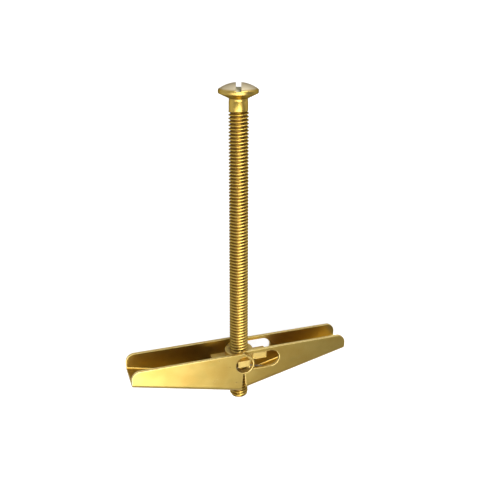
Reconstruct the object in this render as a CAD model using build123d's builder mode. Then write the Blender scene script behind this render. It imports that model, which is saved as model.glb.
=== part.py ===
from build123d import *
import os
from math import asin, atan, cos, degrees, hypot, radians, sin, sqrt, tan

# Spring toggle bolt, M6 x 100: a slotted raised-head screw, a cross-shaped
# nut, two folded sheet-metal wings that hinge on the nut's tabs, and the wire
# spring that holds them open.
#
# Millimetres. The bolt lies on its side: +Y runs along the screw to its head,
# X along the open wings, and +Z up. The origin is on the screw's axis, at the
# top of the head's rim, from which the screw's length is measured.

# Screw
screw_length = 100.0        # rim of the head to the tip
thread_diameter = 5.9       # outside of a real 6 mm thread
neck_diameter = 5.6
neck_length = 3.4           # plain neck between the head and the thread
tip_chamfer = 0.3
head_diameter = 11.7
rim_height = 1.0
dome_height = 1.9
cone_height = 1.5           # under the rim, down to the neck
driver_slot_width = 1.55
driver_slot_depth = 2.0     # from the top of the dome
driver_slot_turn = 18.5     # degrees about the screw, from the wings' hinge

# Nut: a cross with two long arms, two hinge tabs and a threaded collar
nut_place = 85.8            # hinge line, from the rim of the head
nut_thickness = 2.2
nut_arm_reach = 9.2
nut_arm_width = 3.8
tab_width = 3.8
tab_engagement = 0.5        # how far a tab reaches into the outer wing's side
collar_diameter = 9.2
collar_height = 1.75        # above the cross
collar_flat_wall = 0.3      # metal left between the thread and a flat
thread_clearance = 0.1      # screw to nut, on the radius
corner_radius = 0.35

# Wings: channels of one sheet, open towards the head
sheet = 1.1
wing_length = 36.0          # hinge line to the tip
wing_rise = 4.0             # hinge line to the open edges
web_drop = 10.05            # hinge line to the web's outside, at the screw
web_slope = 13.4            # degrees
bend_radius = 0.4           # inside of the folds
wing_tip_radius = 2.7
hinge_play = 0.67           # corner of a tab to the hole's wall
ear_rim = 0.5               # metal left round the hinge hole
ear_blend = 60.0            # degrees of the ear's round below its top
ear_corner_radius = 1.5
side_end_gap = 0.45         # end of a side below its ear, to the hinge line
side_end_lean = 5.0         # degrees
slide_slot_travel = 9.5     # how far the inner wing's hole is drawn out

# Clearances between the moving pieces
nut_gap = 0.25              # nut to the inner wing's sides
wing_gap = 0.3              # inner wing to the outer wing's sides
arm_gap = 0.25              # nut's arms to the webs as the wings fold

# Spring: one turn round the screw under the nut, and a leg on each web
wire_diameter = 0.6
coil_gap = 0.1              # coil to the thread
coil_turn_gap = 0.05        # between the two ends where they cross
leg_straight = 0.8          # along the wings, before a leg bends
leg_bend_radius = 0.7
leg_reach = 12.0            # hinge line to a leg's end
leg_end_offset = 1.6        # leg's end to the middle of the web
leg_seat_gap = 0.06

# Worked out from the sizes above
thread_radius = thread_diameter / 2
head_radius = head_diameter / 2
bore_radius = thread_radius + thread_clearance
collar_flat = bore_radius + collar_flat_wall
inner_half_inside = collar_flat + nut_gap
inner_half_width = inner_half_inside + sheet
outer_half_inside = inner_half_width + wing_gap
outer_half_width = outer_half_inside + sheet
tab_reach = outer_half_inside + tab_engagement
hinge_radius = hypot(tab_width, nut_thickness) / 2 + hinge_play
ear_radius = hinge_radius + ear_rim
hinge_y = -nut_place

# The arms' tips sweep a circle inside the wings, and the webs start outside it
web_distance = (web_drop - sheet / cos(radians(web_slope))) * cos(radians(web_slope))
arm_sweep = hypot(nut_arm_reach + arm_gap, nut_thickness / 2)
web_lead = sqrt(max(arm_sweep**2 - web_distance**2, 0.0))
web_start = web_distance * sin(radians(web_slope)) + web_lead * cos(radians(web_slope))
notch_radius = max(hypot(web_start, nut_arm_width / 2 + arm_gap), thread_radius + arm_gap)


def web_outside(x):
    """Height of the web's outer face over the hinge line, x along the wing."""
    return -web_drop + x * tan(radians(web_slope))


def web_inside(x):
    """Height of the web's inner face over the hinge line."""
    return web_outside(x) + sheet / cos(radians(web_slope))


def across(height):
    """A plane square to the screw, this far above the hinge line, facing its head."""
    return Plane(origin=(0, hinge_y + height, 0), x_dir=(1, 0, 0), z_dir=(0, 1, 0))


def make_wing(side, half_width, slot_travel):
    """A wing along side * X: its outline, folded as a channel, with hinge holes."""
    hinge = Plane(origin=(0, hinge_y, 0))
    low_end = side_end_gap + tan(radians(side_end_lean)) * (web_drop - ear_radius)
    ear_top = (wing_rise * sin(radians(ear_blend)) - ear_radius) / cos(radians(ear_blend))
    ear_side = -ear_radius * cos(radians(ear_blend))
    outline = [
        (side * wing_length, wing_rise),
        (side * wing_length, web_outside(wing_length)),
        (side * low_end, web_outside(low_end)),
        (side * side_end_gap, -ear_radius + ear_rim),
        (0, 0),
        (side * ear_side, ear_radius * sin(radians(ear_blend))),
        (side * ear_top, wing_rise),
    ]
    far = wing_length + sheet
    channel = [
        (-side * 2 * ear_radius, 2 * wing_rise),
        (-side * 2 * ear_radius, web_inside(0)),
        (0, web_inside(0)),
        (side * far, web_inside(far)),
        (side * far, 2 * wing_rise),
    ]
    half_inside = half_width - sheet

    with BuildPart() as wing:
        with BuildSketch(hinge) as face:
            with BuildLine():
                Polyline(*outline, close=True)
            make_face()
            Circle(ear_radius)
            tip = face.vertices().group_by(Axis.Y)[-1].sort_by(Axis.X)[-1 if side > 0 else 0]
            fillet(tip, wing_tip_radius)
            top = face.vertices().group_by(Axis.Y)[-1].sort_by(Axis.X)[0 if side > 0 else -1]
            fillet(top, ear_corner_radius)
        extrude(amount=half_width, both=True)
        folds = [e for e in wing.edges() if abs(e.center().Z) > half_width - 0.01
                 and abs(e.center().Y - hinge_y - web_outside(abs(e.center().X))) < 0.01]
        fillet(folds, bend_radius + sheet)

        with BuildSketch(hinge):
            with BuildLine():
                Polyline(*channel, close=True)
            make_face()
        extrude(amount=half_inside, both=True, mode=Mode.SUBTRACT)
        creases = [e for e in wing.edges() if abs(abs(e.center().Z) - half_inside) < 0.01
                   and abs(e.center().Y - hinge_y - web_inside(abs(e.center().X))) < 0.01]
        fillet(creases, bend_radius)

        with BuildSketch(across(-web_drop)):
            Circle(notch_radius)
            Rectangle(2 * notch_radius, 2 * half_inside, mode=Mode.INTERSECT)
        extrude(amount=web_drop - ear_radius, mode=Mode.SUBTRACT)

        with BuildSketch(hinge):
            Circle(hinge_radius)
            if slot_travel:
                with Locations((side * slot_travel / 2, 0)):
                    Rectangle(slot_travel, 2 * hinge_radius)
                with Locations((side * slot_travel, 0)):
                    Circle(hinge_radius)
        extrude(amount=2 * half_width, both=True, mode=Mode.SUBTRACT)
    return wing


# Screw
dome_radius = (head_radius**2 + dome_height**2) / (2 * dome_height)
dome_angle = degrees(asin(head_radius / dome_radius))
neck_top = -rim_height - cone_height
thread_top = neck_top - neck_length
thread_lead = thread_radius - neck_diameter / 2
with BuildPart() as screw:
    with BuildSketch(Plane.XY):
        with BuildLine():
            CenterArc((0, dome_height - dome_radius), dome_radius, 90 - dome_angle, dome_angle)
            Polyline(
                (0, dome_height),
                (0, -screw_length),
                (thread_radius - tip_chamfer, -screw_length),
                (thread_radius, -screw_length + tip_chamfer),
                (thread_radius, thread_top - thread_lead),
                (neck_diameter / 2, thread_top),
                (neck_diameter / 2, neck_top),
                (head_radius, -rim_height),
                (head_radius, 0),
            )
        make_face()
    revolve(axis=Axis.Y)
    turn = radians(driver_slot_turn)
    slot_floor = Plane(
        origin=(0, dome_height - driver_slot_depth, 0),
        x_dir=(cos(turn), 0, sin(turn)),
        z_dir=(0, 1, 0),
    )
    with BuildSketch(slot_floor):
        Rectangle(driver_slot_width, 2 * head_diameter)
    extrude(amount=2 * driver_slot_depth, mode=Mode.SUBTRACT)

# Nut
with BuildPart() as nut:
    with BuildSketch(across(-nut_thickness / 2)) as cross:
        Circle(collar_diameter / 2)
        Rectangle(collar_diameter, 2 * collar_flat, mode=Mode.INTERSECT)
        Rectangle(2 * nut_arm_reach, nut_arm_width)
        Rectangle(tab_width, 2 * tab_reach)
        ends = cross.vertices().filter_by(
            lambda v: abs(v.Z) > tab_reach - 0.01 or abs(v.X) > nut_arm_reach - 0.01)
        fillet(ends, corner_radius)
    extrude(amount=nut_thickness)
    with BuildSketch(across(nut_thickness / 2)):
        Circle(collar_diameter / 2)
        Rectangle(collar_diameter, 2 * collar_flat, mode=Mode.INTERSECT)
    extrude(amount=collar_height)
    collar_rim = nut.edges().group_by(Axis.Y)[-1].filter_by(GeomType.CIRCLE)
    fillet(collar_rim, corner_radius)
    with BuildSketch(across(-nut_thickness)):
        Circle(bore_radius)
    extrude(amount=2 * nut_thickness + collar_height, mode=Mode.SUBTRACT)

# Wings
outer_wing = make_wing(-1, outer_half_width, 0)
inner_wing = make_wing(1, inner_half_width, slide_slot_travel)

# Spring: both ends leave the turn on the upper side, one above the other
wire_radius = wire_diameter / 2
coil_radius = thread_radius + coil_gap + wire_radius
turn_step = wire_diameter + coil_turn_gap
first_end = hinge_y - nut_thickness / 2 - coil_turn_gap - wire_radius
second_end = first_end - turn_step
leg_end_lift = (wire_radius + leg_seat_gap) / cos(radians(web_slope))
leg_end = hinge_y + web_inside(leg_reach) + leg_end_lift
with BuildPart() as spring:
    with BuildLine() as wire:
        middle = (first_end + second_end) / 2
        FilletPolyline(
            (leg_reach, leg_end, leg_end_offset),
            (leg_straight, first_end, coil_radius),
            (0, first_end, coil_radius),
            radius=leg_bend_radius,
        )
        ThreePointArc(
            (0, first_end, coil_radius),
            (-coil_radius, (first_end + middle) / 2, 0),
            (0, middle, -coil_radius),
        )
        ThreePointArc(
            (0, middle, -coil_radius),
            (coil_radius, (second_end + middle) / 2, 0),
            (0, second_end, coil_radius),
        )
        FilletPolyline(
            (0, second_end, coil_radius),
            (-leg_straight, second_end, coil_radius),
            (-leg_reach, leg_end, leg_end_offset),
            radius=leg_bend_radius,
        )
    route = wire.wire()
    with BuildSketch(Plane(origin=route @ 0, z_dir=route % 0)):
        Circle(wire_radius)
    sweep()

# The wing folds until the inside of its web, at the tip, reaches the thread
tip_inside = web_inside(wing_length)
tip_distance = hypot(wing_length, tip_inside)
lean_at_thread = degrees(asin((thread_radius + arm_gap) / tip_distance))
fold_limit = 90 - lean_at_thread - degrees(atan(tip_inside / wing_length))
print(f"wings fold {fold_limit:.1f} degrees; spring wire {route.length:.1f} mm long")

os.makedirs("parts", exist_ok=True)
pieces = {
    "screw": screw,
    "nut": nut,
    "outer_wing": outer_wing,
    "inner_wing": inner_wing,
    "spring": spring,
}
for name, piece in pieces.items():
    piece.part.label = name
    export_step(piece.part, f"parts/{name}.step")
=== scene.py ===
import math

import bmesh
import bpy
from mathutils import Matrix, Vector


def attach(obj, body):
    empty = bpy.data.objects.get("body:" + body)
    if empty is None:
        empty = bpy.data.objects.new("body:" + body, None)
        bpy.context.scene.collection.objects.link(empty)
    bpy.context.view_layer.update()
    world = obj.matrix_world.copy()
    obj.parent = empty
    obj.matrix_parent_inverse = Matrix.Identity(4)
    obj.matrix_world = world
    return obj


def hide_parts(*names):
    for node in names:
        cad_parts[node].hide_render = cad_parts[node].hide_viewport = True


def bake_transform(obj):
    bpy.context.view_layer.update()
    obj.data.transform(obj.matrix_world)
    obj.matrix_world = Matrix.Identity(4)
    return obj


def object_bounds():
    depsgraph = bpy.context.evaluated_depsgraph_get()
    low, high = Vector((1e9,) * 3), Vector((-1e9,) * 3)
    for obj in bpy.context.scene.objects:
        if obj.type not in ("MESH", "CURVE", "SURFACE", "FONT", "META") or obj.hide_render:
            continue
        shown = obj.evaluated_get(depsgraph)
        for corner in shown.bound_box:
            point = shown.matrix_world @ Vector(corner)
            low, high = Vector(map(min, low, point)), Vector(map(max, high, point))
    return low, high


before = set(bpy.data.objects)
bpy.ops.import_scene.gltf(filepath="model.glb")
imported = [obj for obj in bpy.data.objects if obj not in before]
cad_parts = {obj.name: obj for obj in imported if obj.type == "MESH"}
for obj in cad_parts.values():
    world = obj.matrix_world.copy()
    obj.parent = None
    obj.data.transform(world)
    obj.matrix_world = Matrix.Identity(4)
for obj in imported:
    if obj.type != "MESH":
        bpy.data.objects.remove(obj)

cad_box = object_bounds()

# Spring toggle bolt, lying on its side: +Y along the screw to its head, X along
# the open wings, +Z up. Shapes are drawn in millimetres and scaled at the end.
MM = 0.001
TAU = 2 * math.pi


# ------------------------------------------------- sizes in mm, angles in degrees

# Screw: heights are measured from the top of the head's rim.
THREAD_RADIUS = 2.95
THREAD_ROOT = 2.38
THREAD_PITCH = 1.0
THREAD_STEPS = 60               # round one turn
THREAD_TOP = -5.9
THREAD_FOOT = 1.1583            # pitches below the tip, so that no corner meets a cut
RUN_OUT = 0.5                   # the thread fades into the neck over this length
TIP = -100.0
TIP_CHAMFER = 0.5
NECK_RADIUS = 2.8
RELIEF_RADIUS = NECK_RADIUS - 0.06   # the neck is slimmer just under the head
RELIEF_BELOW = -3.45
RELIEF_ABOVE = -3.32
CONE_FOOT = -2.5
HEAD_RADIUS = 5.85
RIM_HEIGHT = 1.0
RIM_EASE = 0.16
CONE_EASE = 0.22
DOME_HEIGHT = 1.9
DOME_RINGS = 14
SLOT_WIDTH = 1.55
SLOT_FLOOR = -0.1
SLOT_TURN = 18.5
SLOT_EASE = 0.07
SLOT_ZONE = -0.6                # the slot's cuts leave the screw alone below this

# Nut and wings
SHEET_THICKNESS = 1.1
SHARP_EDGE = 35                 # edges that turn further than this are eased
NUT_EASE = 0.13
WING_EASE = 0.12
EDGE_LOSS = 0.35                # a sheared wall is narrower than its sheet by under this
FLAT_ANGLE = 0.8                # faces that meet within this angle are merged
UPRIGHT = 0.2                   # a face whose normal rises less than this is upright

# Spring: half a turn round the screw on each side, and a leg on each wing
COIL_RADIUS = 3.35
COIL_STEPS = 12
WIRE_RADIUS = 0.3
FIRST_END = -87.25
SECOND_END = -87.9
KNEE_REACH = 0.8
LEG_END = Vector((12.0, -91.5, 1.6))
LEG_SHARES = (0.0, 0.1, 0.25, 0.5, 0.75, 0.9, 1.0)

# Edges that turn less than this are shaded smooth
SMOOTH_BELOW = 32
SMOOTH_BELOW_ON_SCREW = 40

# Tolerances
ON_CUT = 1e-3                   # a corner this near a cut lies on it
CUT_SNAP = 1e-5
WELD = 2e-3
SMALLEST_EDGE = 2e-3


# ------------------------------------------------------------- shader expressions

class Level:
    """A socket's value that varies over a surface; arithmetic adds Math nodes."""

    def __init__(self, nodes, socket):
        self.nodes = nodes
        self.socket = socket

    def _math(self, operation, first, second):
        return self.nodes.node(
            "ShaderNodeMath", {"operation": operation}, {0: first, 1: second})

    def __add__(self, other):
        return self._math("ADD", self, other)

    __radd__ = __add__

    def __mul__(self, other):
        return self._math("MULTIPLY", self, other)

    __rmul__ = __mul__

    def __sub__(self, other):
        return self._math("SUBTRACT", self, other)

    def __rsub__(self, other):
        return self._math("SUBTRACT", other, self)

    def __pow__(self, other):
        return self._math("POWER", self, other)

    def at_least(self, other):
        return self._math("MAXIMUM", self, other)

    def between(self, low, high, start=0.0, end=1.0):
        """start below low, end above high, and a smooth step from one to the other."""
        return self.nodes.node(
            "ShaderNodeMapRange", {"interpolation_type": "SMOOTHSTEP"},
            {"Value": self, "From Min": low, "From Max": high,
             "To Min": start, "To Max": end})


class Nodes:
    """The node tree of a material or the world."""

    def __init__(self, owner):
        owner.use_nodes = True
        self.tree = owner.node_tree
        self.tree.nodes.clear()

    def node(self, kind, settings=None, sockets=None, output=0):
        """Adds a node, sets it, fills or links its sockets and returns one output."""
        made = self.tree.nodes.new(kind)
        for name, value in (settings or {}).items():
            setattr(made, name, value)
        for name, value in (sockets or {}).items():
            if isinstance(value, Level):
                self.tree.links.new(value.socket, made.inputs[name])
            else:
                made.inputs[name].default_value = value
        return Level(self, made.outputs[output]) if made.outputs else made

    def place(self):
        return self.node("ShaderNodeTexCoord", output="Object")

    def stretched(self, scale, turn=(0, 0, 0)):
        """The place, turned and scaled, for a pattern with a direction."""
        return self.node(
            "ShaderNodeMapping", None,
            {"Vector": self.place(), "Scale": scale, "Rotation": turn})

    def noise(self, size_mm, detail=2.0, rough=0.5, vector=None):
        """Noise from 0 to 1 with patches of about this size."""
        return self.node(
            "ShaderNodeTexNoise", None,
            {"Vector": vector or self.place(), "Scale": 1 / (size_mm * MM),
             "Detail": detail, "Roughness": rough})

    def blend(self, factor, first, second):
        """The first colour where the factor is 0, and the second where it is 1."""
        return self.node(
            "ShaderNodeMix", {"data_type": "RGBA"},
            {0: factor, 6: first, 7: second}, output=2)

    def bump(self, height, depth_mm, strength, under=None):
        """A normal bent by this height, on top of an earlier bump."""
        sockets = {"Height": height, "Distance": depth_mm * MM, "Strength": strength}
        if under:
            sockets["Normal"] = under
        return self.node("ShaderNodeBump", None, sockets)

    def axes(self):
        """The place in X, Y and Z, in metres."""
        split = self.node("ShaderNodeSeparateXYZ", None, {0: self.place()})
        return [Level(self, socket) for socket in split.socket.node.outputs]

    def metal(self, colour, roughness, normal, tint=(1, 1, 1, 1)):
        shader = self.node(
            "ShaderNodeBsdfPrincipled", None,
            {"Base Color": colour, "Roughness": roughness, "Metallic": 1.0,
             "Normal": normal, "Specular Tint": tint})
        self.node("ShaderNodeOutputMaterial", None, {"Surface": shader})


def rgb(red, green, blue):
    return (red, green, blue, 1.0)


# ------------------------------------------------------------------------ finishes

GOLD = rgb(0.54, 0.38, 0.10)
DEEP_GOLD = rgb(0.46, 0.29, 0.06)
PALE_GOLD = rgb(0.64, 0.48, 0.17)
GREEN_GOLD = rgb(0.44, 0.33, 0.085)
# The nut's golds are paler than the wings': painted light.
NUT_PAINTED_LIGHT_GOLD = rgb(0.68, 0.50, 0.16)
NUT_PAINTED_LIGHT_DEEP_GOLD = rgb(0.58, 0.38, 0.09)
# Edge golds: real wear, brightened further as painted highlight.
EDGE_WEAR_AND_HIGHLIGHT_GOLD = rgb(0.92, 0.74, 0.30)
EDGE_WEAR_AND_HIGHLIGHT_DEEP_GOLD = rgb(0.78, 0.58, 0.18)
# The screw's painted light: crest and neck highlight, valley shade, head reflection and
# slot-floor highlight.
CREST_HIGHLIGHT_GOLD = rgb(0.86, 0.60, 0.12)
VALLEY_PAINTED_SHADE_BROWN = rgb(0.21, 0.117, 0.024)
HEAD_REFLECTION_CHAMPAGNE = rgb(0.86, 0.76, 0.55)
SLOT_FLOOR_HIGHLIGHT = rgb(0.95, 0.90, 0.62)
DARK_EDGE = rgb(0.20, 0.19, 0.18)
WIRE_DARK = rgb(0.24, 0.21, 0.17)
WIRE_GREY = rgb(0.36, 0.32, 0.26)
WIRE_STRAW = rgb(0.45, 0.36, 0.20)


def new_finish(name):
    material = bpy.data.materials.new(name)
    return material, Nodes(material)


def chromate(nodes, base, deep, green):
    """Yellow chromate over zinc: slow drifts of hue, and a fine crystalline grain."""
    drift = nodes.noise(9, 2, 0.55).between(0.35, 0.65)
    cast = nodes.noise(5, 1, 0.5, nodes.stretched((1, 1.6, 1), (0.4, 0.7, 0.2)))
    grain = nodes.noise(0.28, 3, 0.65)
    colour = nodes.blend(drift * 0.55, base, deep)
    colour = nodes.blend(cast.between(0.5, 0.75) * 0.45, colour, green)
    colour = nodes.blend(grain.between(0.5, 0.85) * 0.35, colour, PALE_GOLD)
    return colour, grain


def wing_zinc():
    """The wings' faces: rolled sheet, plated, with faint rolling marks along X."""
    material, nodes = new_finish("wing_zinc")
    colour, grain = chromate(nodes, GOLD, DEEP_GOLD, GREEN_GOLD)
    rolling = nodes.noise(0.5, 2, 0.6, nodes.stretched((0.06, 1, 1)))
    pits = nodes.noise(0.55, 1, 0.5).between(0.24, 0.32, 1.0, 0.0)
    scratches = nodes.noise(2.2, 3, 0.7, nodes.stretched((0.35, 1, 1), (0, 0, 0.5)))
    scuffs = scratches.between(0.6, 0.8)
    colour = nodes.blend(pits * 0.2, colour, DEEP_GOLD)
    colour = nodes.blend(scuffs * 0.3, colour, PALE_GOLD)
    roughness = 0.22 + grain * 0.12 + rolling * 0.06 - scuffs * 0.05
    normal = nodes.bump(grain, 0.012, 0.42)
    normal = nodes.bump(rolling, 0.008, 0.25, normal)
    normal = nodes.bump(1 - pits, 0.01, 0.15, normal)
    nodes.metal(colour, roughness, normal)
    return material


def edge_wear_and_highlight_zinc():
    """Rubbed edges and punched rims, where the plating is thin and bright, brightened further
    as painted highlight.
    """
    material, nodes = new_finish("edge_wear_and_highlight_zinc")
    rub = nodes.noise(0.8, 2, 0.6).between(0.3, 0.7)
    drag = nodes.noise(0.25, 2, 0.6)
    nodes.metal(nodes.blend(rub, EDGE_WEAR_AND_HIGHLIGHT_GOLD, EDGE_WEAR_AND_HIGHLIGHT_DEEP_GOLD),
                0.24 + drag * 0.16, nodes.bump(drag, 0.01, 0.25))
    return material


def nut_zinc():
    """The stamped nut: plating painted paler and warmer than the wings' as painted light, over
    a slightly rolled surface.
    """
    material, nodes = new_finish("nut_zinc")
    # Painted light: the nut's base colours are paler than the wings', for its brighter-lit
    # faces.
    colour, grain = chromate(nodes, NUT_PAINTED_LIGHT_GOLD, NUT_PAINTED_LIGHT_DEEP_GOLD, GOLD)
    tumble = nodes.noise(0.9, 3, 0.6)
    colour = nodes.blend(tumble.between(0.55, 0.8) * 0.4, colour, PALE_GOLD)
    roughness = 0.28 + grain * 0.12 + tumble * 0.10
    normal = nodes.bump(grain, 0.01, 0.25)
    normal = nodes.bump(tumble, 0.03, 0.22, normal)
    nodes.metal(colour, roughness, normal)
    return material


def screw_zinc():
    """The screw: crests and neck brightened as painted highlight, thread valleys darkened as
    painted shade, the head paled as painted reflection, and the slot floor brightened as
    painted highlight.
    """
    material, nodes = new_finish("screw_zinc")
    colour, grain = chromate(nodes, GOLD, DEEP_GOLD, GREEN_GOLD)
    across, along, up = nodes.axes()
    radius = (across * across + up * up) ** 0.5

    threaded = along.between((THREAD_TOP - 0.5) * MM, THREAD_TOP * MM, 1.0, 0.0)
    valley = radius.between(THREAD_ROOT * MM, (THREAD_RADIUS - 0.04) * MM, 1.0, 0.0)
    crest = radius.between((THREAD_RADIUS - 0.10) * MM, (THREAD_RADIUS - 0.02) * MM)
    neck = (1 - threaded) * along.between((CONE_FOOT - 0.4) * MM, CONE_FOOT * MM, 1.0, 0.0)
    head = along.between(0.05 * MM, 0.6 * MM)
    slot_floor = (along.between((SLOT_FLOOR - 0.06) * MM, (SLOT_FLOOR - 0.02) * MM)
                  * along.between((SLOT_FLOOR + 0.02) * MM, (SLOT_FLOOR + 0.06) * MM, 1.0, 0.0)
                  * radius.between((HEAD_RADIUS - 0.25) * MM, (HEAD_RADIUS - 0.10) * MM,
                                   1.0, 0.0))

    patches = nodes.noise(1.6, 3, 0.65)
    # Painted highlight: the thread crests are brightened, in patches.
    painted_crest_highlight = crest * threaded * patches.between(0.3, 0.6, 0.5, 1.0)
    # Painted shade: the thread valleys are darkened brown, where the crests shade them.
    colour = nodes.blend(valley * threaded * 0.92, colour, VALLEY_PAINTED_SHADE_BROWN)
    colour = nodes.blend(painted_crest_highlight, colour, CREST_HIGHLIGHT_GOLD)
    # Painted highlight: the neck is brightened towards the crest gold.
    colour = nodes.blend(neck * 0.35, colour, CREST_HIGHLIGHT_GOLD)
    # Painted reflection: the head is paled towards champagne grey, as if it mirrored a pale
    # room.
    colour = nodes.blend(head * 0.85, colour, HEAD_REFLECTION_CHAMPAGNE)
    # Painted highlight: the slot's floor is brightened.
    colour = nodes.blend(slot_floor, colour, SLOT_FLOOR_HIGHLIGHT)

    turned = nodes.noise(0.22, 2, 0.6, nodes.stretched((0.15, 1, 0.15)))
    rolled = nodes.noise(0.7, 3, 0.65)
    roughness = 0.29 + grain * 0.10 - crest * threaded * 0.04 + head * patches * 0.06
    normal = nodes.bump(grain, 0.008, 0.25)
    normal = nodes.bump(turned, 0.008, 0.22, normal)
    normal = nodes.bump(rolled * threaded, 0.05, 0.35, normal)
    nodes.metal(colour, roughness, normal, DARK_EDGE)
    return material


def spring_wire():
    """Hard-drawn spring wire: grey, with fine lines and a little straw colour."""
    material, nodes = new_finish("spring_wire")
    drawn = nodes.noise(0.12, 3, 0.6, nodes.stretched((0.2, 1, 1)))
    straw = nodes.noise(2.5, 2, 0.5)
    colour = nodes.blend(drawn.between(0.3, 0.7), WIRE_DARK, WIRE_GREY)
    colour = nodes.blend(straw.between(0.45, 0.7) * 0.4, colour, WIRE_STRAW)
    nodes.metal(colour, 0.26 + drawn * 0.16, nodes.bump(drawn, 0.006, 0.3))
    return material


# ------------------------------------------------------------- from shape to piece

def whole(bm):
    return bm.verts[:] + bm.edges[:] + bm.faces[:]


def eased(bm, edges, width, segments, clamp=True):
    """Bevels edges to this width and returns the new faces."""
    return bmesh.ops.bevel(
        bm, geom=edges, offset=width, offset_type="OFFSET", affect="EDGES",
        segments=segments, profile=0.5, material=-1, clamp_overlap=clamp)["faces"]


def finished(bm, name, body, node, finishes, smooth=SMOOTH_BELOW):
    """Turns a shape in metres into a piece that stands for a CAD node."""
    bmesh.ops.dissolve_degenerate(bm, dist=SMALLEST_EDGE * MM, edges=bm.edges)
    bmesh.ops.recalc_face_normals(bm, faces=bm.faces)
    if bm.calc_volume(signed=True) < 0:
        bmesh.ops.reverse_faces(bm, faces=bm.faces)
    mesh = bpy.data.meshes.new(name)
    bm.to_mesh(mesh)
    bm.free()
    for finish in finishes:
        mesh.materials.append(finish)
    mesh.shade_smooth()
    mesh.set_sharp_from_angle(angle=math.radians(smooth))
    piece = bpy.data.objects.new(name, mesh)
    bpy.context.scene.collection.objects.link(piece)
    if body:
        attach(piece, body)
    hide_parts(node)
    return piece


# --------------------------------------------------------------------------- screw

def ring_at(bm, height):
    """Edges of the rings that lie at this height along the screw."""
    return [edge for edge in bm.edges
            if all(abs(v.co.y - height) < ON_CUT for v in edge.verts)]


def open_ring_at(bm, height):
    return [edge for edge in ring_at(bm, height) if edge.is_boundary]


def draw_out(bm, ring, radius, height):
    """Extrudes a ring round the screw to a new radius and height."""
    grown = bmesh.ops.extrude_edge_only(bm, edges=ring)["geom"]
    verts = [g for g in grown if isinstance(g, bmesh.types.BMVert)]
    old = math.hypot(verts[0].co.x, verts[0].co.z)
    bmesh.ops.scale(bm, vec=(radius / old, 1, radius / old), verts=verts)
    bmesh.ops.translate(bm, vec=(0, height - verts[0].co.y, 0), verts=verts)
    return [g for g in grown if isinstance(g, bmesh.types.BMEdge)]


def spun_pitch(bm, foot):
    """One turn of the thread, whose crest has eased corners."""
    depth = THREAD_RADIUS - THREAD_ROOT
    profile = [(0.0, 0.0), (0.10, 0.04), (0.435, 0.96), (0.47, 1.0),
               (0.53, 1.0), (0.565, 0.96), (0.90, 0.04), (1.0, 0.0)]
    verts = [bm.verts.new((THREAD_ROOT + depth * rise, foot + THREAD_PITCH * place, 0))
             for place, rise in profile]
    edges = [bm.edges.new(pair) for pair in zip(verts, verts[1:])]
    bmesh.ops.spin(bm, geom=verts + edges, cent=(0, 0, 0), axis=(0, 1, 0),
                   dvec=(0, THREAD_PITCH / THREAD_STEPS, 0), angle=TAU,
                   steps=THREAD_STEPS, use_merge=False)


def thread_reach(reach, height):
    """A thread's radius at a height, faded into the neck and chamfered at the tip."""
    fade = min(max((THREAD_TOP - height) / RUN_OUT, 0), 1)
    fade *= fade * (3 - 2 * fade)
    faded = NECK_RADIUS + (reach - NECK_RADIUS) * fade
    return min(faded, THREAD_RADIUS - TIP_CHAMFER + max(height - TIP, 0))


def threaded_rod(bm):
    """The spun turn, doubled until it is long enough, cut to length, the tip closed."""
    foot = TIP - THREAD_FOOT * THREAD_PITCH
    spun_pitch(bm, foot)
    turns = 1
    while foot + turns * THREAD_PITCH < THREAD_TOP + THREAD_PITCH:
        copied = bmesh.ops.duplicate(bm, geom=whole(bm))["geom"]
        bmesh.ops.translate(
            bm, vec=(0, turns * THREAD_PITCH, 0),
            verts=[g for g in copied if isinstance(g, bmesh.types.BMVert)])
        turns *= 2
    bmesh.ops.remove_doubles(bm, verts=bm.verts, dist=ON_CUT)
    for vert in bm.verts:
        reach = math.hypot(vert.co.x, vert.co.z)
        wanted = thread_reach(reach, vert.co.y)
        vert.co.x *= wanted / reach
        vert.co.z *= wanted / reach
    for height, side in ((THREAD_TOP, 1), (TIP, -1)):
        bmesh.ops.bisect_plane(
            bm, geom=whole(bm), dist=CUT_SNAP, plane_co=(0, height, 0),
            plane_no=(0, side, 0), clear_outer=True)
    bmesh.ops.edgeloop_fill(bm, edges=open_ring_at(bm, TIP))


def raised_head(bm):
    """Neck, cone, rim and dome, drawn out of the top of the thread."""
    ring = open_ring_at(bm, THREAD_TOP)
    for radius, height in ((NECK_RADIUS, RELIEF_BELOW), (RELIEF_RADIUS, RELIEF_ABOVE),
                           (RELIEF_RADIUS, CONE_FOOT), (HEAD_RADIUS, -RIM_HEIGHT),
                           (HEAD_RADIUS, 0)):
        ring = draw_out(bm, ring, radius, height)
    dome_radius = (HEAD_RADIUS**2 + DOME_HEIGHT**2) / (2 * DOME_HEIGHT)
    dome_angle = math.asin(HEAD_RADIUS / dome_radius)
    for step in range(1, DOME_RINGS):
        angle = dome_angle * (1 - step / DOME_RINGS)
        ring = draw_out(bm, ring, dome_radius * math.sin(angle),
                        DOME_HEIGHT - dome_radius * (1 - math.cos(angle)))
    bmesh.ops.edgeloop_fill(bm, edges=ring)
    for height, width in ((0, RIM_EASE), (-RIM_HEIGHT, RIM_EASE), (CONE_FOOT, CONE_EASE)):
        eased(bm, ring_at(bm, height), width, segments=3)


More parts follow.
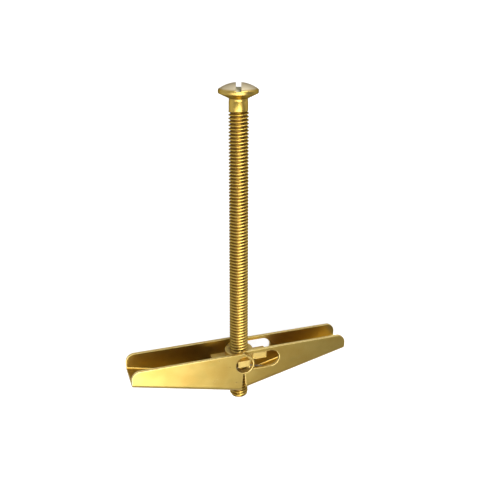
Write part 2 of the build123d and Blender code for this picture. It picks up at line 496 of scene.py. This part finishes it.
def driver_slot(bm):
    """Cuts the slot across the dome, closes its walls and floor, and eases its rims."""
    turn = math.radians(SLOT_TURN)
    across = Vector((math.cos(turn), 0, math.sin(turn)))
    half = SLOT_WIDTH / 2
    for place, facing in ((across * half, across), (across * -half, across),
                          (Vector((0, SLOT_FLOOR, 0)), Vector((0, 1, 0)))):
        faces = [f for f in bm.faces if f.calc_center_median().y > SLOT_ZONE]
        verts = dict.fromkeys(v for f in faces for v in f.verts)
        edges = dict.fromkeys(e for f in faces for e in f.edges)
        bmesh.ops.bisect_plane(bm, geom=[*verts, *edges, *faces], dist=CUT_SNAP,
                               plane_co=place, plane_no=facing)
    inside = [f for f in bm.faces if f.calc_center_median().y > SLOT_FLOOR
              and abs(f.calc_center_median().dot(across)) < half - 2 * CUT_SNAP]
    bmesh.ops.delete(bm, geom=inside, context="FACES")
    rims = []
    floor = open_ring_at(bm, SLOT_FLOOR)
    for side in (1, -1):
        wall = [e for e in bm.edges if e.is_boundary and e not in floor
                and all(abs(v.co.dot(across) - side * half) < ON_CUT for v in e.verts)]
        ends = [v for e in wall for v in e.verts if abs(v.co.y - SLOT_FLOOR) < ON_CUT]
        foot = bm.edges.new(ends)
        bmesh.ops.edgeloop_fill(bm, edges=wall + [foot])
        rims += wall
        floor.append(foot)
    bmesh.ops.edgeloop_fill(bm, edges=floor)
    eased(bm, rims, SLOT_EASE, segments=2)


def make_screw(finishes):
    bm = bmesh.new()
    threaded_rod(bm)
    raised_head(bm)
    driver_slot(bm)
    bmesh.ops.scale(bm, vec=(MM, MM, MM), verts=bm.verts)
    finished(bm, "machine_screw", "bolt", "screw", finishes,
             SMOOTH_BELOW_ON_SCREW)


# ------------------------------------------------------------------- nut and wings

def eased_copy(node, name, body, finishes, width, wall=0):
    """A merged copy of a CAD node whose sharp edges are eased; the eased faces,
    and the sheared walls across a sheet this thick, take the second finish."""
    bm = bmesh.new()
    bm.from_mesh(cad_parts[node].data)
    bmesh.ops.scale(bm, vec=(1 / MM, 1 / MM, 1 / MM), verts=bm.verts)
    bmesh.ops.remove_doubles(bm, verts=bm.verts, dist=WELD)
    bmesh.ops.dissolve_limit(bm, angle_limit=math.radians(FLAT_ANGLE), verts=bm.verts,
                             edges=bm.edges, use_dissolve_boundaries=False)
    sharp = [e for e in bm.edges if len(e.link_faces) == 2
             and e.calc_face_angle() > math.radians(SHARP_EDGE)]
    # The fine curves of a wing's folds would clamp its eased edges to nothing.
    for face in eased(bm, sharp, width, segments=2, clamp=not wall):
        face.material_index = 1
    for face in bm.faces:
        heights = [v.co.z for v in face.verts]
        upright = abs(face.normal.z) < UPRIGHT
        if upright and wall - EDGE_LOSS < max(heights) - min(heights) < wall:
            face.material_index = 1
    bmesh.ops.scale(bm, vec=(MM, MM, MM), verts=bm.verts)
    piece = finished(bm, name, body, node, finishes)
    even = piece.modifiers.new("even_shading", "WEIGHTED_NORMAL")
    even.keep_sharp = True


# -------------------------------------------------------------------------- spring

def coil_half(side, end):
    """Points along half a turn, from below the screw to this end above it."""
    middle = (FIRST_END + SECOND_END) / 2
    points = []
    for step in range(COIL_STEPS + 1):
        turn = math.pi * (1 - step / COIL_STEPS)
        height = middle + (end - middle) * step / COIL_STEPS
        points.append((-side * COIL_RADIUS * math.sin(turn), height,
                       COIL_RADIUS * math.cos(turn)))
    return points


def drawn_wire(path):
    """The wire along a path in mm, as a closed shape in metres."""
    wire = bpy.data.curves.new("wire", "CURVE")
    wire.dimensions = "3D"
    wire.bevel_depth = WIRE_RADIUS * MM
    wire.bevel_resolution = 4
    wire.use_fill_caps = True
    wire.resolution_u = 4
    line = wire.splines.new("NURBS")
    line.points.add(len(path) - 1)
    for point, place in zip(line.points, path):
        point.co = (*(c * MM for c in place), 1)
    line.order_u = 3
    line.use_endpoint_u = True
    guide = bpy.data.objects.new("wire", wire)
    bpy.context.scene.collection.objects.link(guide)
    bpy.context.view_layer.update()
    mesh = bpy.data.meshes.new_from_object(guide.evaluated_get(
        bpy.context.evaluated_depsgraph_get()))
    bpy.data.objects.remove(guide)
    bm = bmesh.new()
    bm.from_mesh(mesh)
    bmesh.ops.remove_doubles(bm, verts=bm.verts, dist=ON_CUT * MM)
    return bm


def make_spring(finish):
    """Two halves of one wire; each leg bends between the nut and its wing."""
    for side, end, name, wing in ((1, FIRST_END, "spring_half_inner", "inner_wing"),
                                  (-1, SECOND_END, "spring_half_outer", "outer_wing")):
        knee = Vector((side * KNEE_REACH, end, COIL_RADIUS))
        foot = Vector((side * LEG_END.x, LEG_END.y, LEG_END.z))
        leg = [tuple(knee.lerp(foot, share)) for share in LEG_SHARES]
        bm = drawn_wire(coil_half(side, end) + leg)
        half = finished(bm, name, None, "spring", [finish])
        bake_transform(half)


# -------------------------------------------------------------------------- pieces

# Edge finish: real wear on eased edges and punched rims, brightened further as painted
# highlight.
worn_and_highlit_edges = edge_wear_and_highlight_zinc()
make_screw([screw_zinc()])
eased_copy("nut", "cross_nut", "nut_carrier", [nut_zinc(), worn_and_highlit_edges], NUT_EASE)
wing_finishes = [wing_zinc(), worn_and_highlit_edges]
eased_copy("outer_wing", "outer_channel_wing", "outer_wing",
           wing_finishes, WING_EASE, SHEET_THICKNESS)
eased_copy("inner_wing", "inner_channel_wing", "inner_wing",
           wing_finishes, WING_EASE, SHEET_THICKNESS)
make_spring(spring_wire())


# -------------------------------------------------------- floor, lights and camera

FLOOR_REACH = 3.0
FLOOR_GAP = 0.0002              # keeps the floor just below the lowest piece
PAPER = rgb(0.3, 0.3, 0.3)
WHITE = rgb(1, 1, 1)
LENS = 48.66
CAMERA_PLACE = (-0.0586, 0.02414, 0.17626)
CAMERA_RIGHT = Vector((0.9482, 0.0, 0.3175))
CAMERA_UP = Vector((0.1112, 0.9367, -0.3321))


def seen_rays(nodes):
    """1 for rays to the background, first direct or through glass, then off metal."""
    direct = nodes.node("ShaderNodeLightPath", output="Is Camera Ray")
    outputs = direct.socket.node.outputs
    return (direct.at_least(Level(nodes, outputs["Is Transmission Ray"])),
            Level(nodes, outputs["Is Glossy Ray"]))


def pale_floor():
    """White paper to the camera; metal sees it dim close by and paler far off."""
    bm = bmesh.new()
    bmesh.ops.create_grid(bm, x_segments=1, y_segments=1, size=FLOOR_REACH)
    mesh = bpy.data.meshes.new("floor")
    bm.to_mesh(mesh)
    bm.free()
    floor = bpy.data.objects.new("floor", mesh)
    floor.location = (0, 0, cad_box[0].z - FLOOR_GAP)
    bpy.context.scene.collection.objects.link(floor)
    material, nodes = new_finish("pale_floor")
    camera_rays, metal_rays = seen_rays(nodes)
    distance = nodes.node("ShaderNodeVectorMath", {"operation": "LENGTH"},
                          {0: nodes.place()}, output="Value")
    # Painted shade: the glow that metal sees is dimmed near the object, where its own shade
    # would fall.
    far_off = distance.between(0.15, 0.6, 0.14, 0.48)
    paper = nodes.node("ShaderNodeBsdfDiffuse", None, {"Color": PAPER})
    glow = nodes.node("ShaderNodeEmission", None,
                      {"Color": WHITE, "Strength": camera_rays * 0.85 + metal_rays * far_off})
    both = nodes.node("ShaderNodeAddShader", None, {0: paper, 1: glow})
    nodes.node("ShaderNodeOutputMaterial", None, {"Surface": both})
    mesh.materials.append(material)


def studio_world():
    """White to the camera; metal sees a wall that darkens towards the ceiling."""
    world = bpy.data.worlds.new("studio")
    bpy.context.scene.world = world
    nodes = Nodes(world)
    camera_rays, metal_rays = seen_rays(nodes)
    direction = nodes.node("ShaderNodeTexCoord", output="Generated")
    height = nodes.node("ShaderNodeSeparateXYZ", None, {0: direction}, output=2)
    wall = height.between(0.10, 0.60, 0.60, 0.22)
    other_rays = 1 - camera_rays.at_least(metal_rays)
    sky = nodes.node(
        "ShaderNodeBackground", None,
        {"Color": WHITE, "Strength": camera_rays + metal_rays * wall + other_rays * 0.55})
    nodes.node("ShaderNodeOutputWorld", None, {"Surface": sky})


def softbox(name, place, aim, width, height, power):
    lamp = bpy.data.lights.new(name, "AREA")
    lamp.shape = "RECTANGLE"
    lamp.size, lamp.size_y = width, height
    lamp.energy = power
    box = bpy.data.objects.new(name, lamp)
    box.location = place
    box.rotation_mode = "QUATERNION"
    box.rotation_quaternion = (Vector(aim) - Vector(place)).to_track_quat("-Z", "Y")
    bpy.context.scene.collection.objects.link(box)


def camera():
    lens = bpy.data.cameras.new("camera")
    lens.lens = LENS
    lens.sensor_width = 36
    lens.clip_start, lens.clip_end = 0.01, 20
    body = bpy.data.objects.new("camera", lens)
    backward = CAMERA_RIGHT.cross(CAMERA_UP)
    turn = Matrix((CAMERA_RIGHT, CAMERA_UP, backward)).transposed().to_4x4()
    body.matrix_world = Matrix.Translation(CAMERA_PLACE) @ turn
    bpy.context.scene.collection.objects.link(body)
    bpy.context.scene.camera = body


pale_floor()
studio_world()
softbox("key", (-0.09, -0.28, 0.60), (-0.02, -0.06, 0), 0.42, 0.84, 5.2)
softbox("side", (-0.43, -0.14, 0.60), (0, -0.05, 0), 0.24, 0.80, 2.2)
softbox("top", (0.12, 0.55, 0.26), (0, -0.05, 0), 0.4, 0.5, 3.6)
softbox("back", (0.6, 0.3, 0.25), (0, -0.05, 0), 0.4, 0.4, 0.4)
camera()
bpy.context.scene.view_settings.view_transform = "Standard"
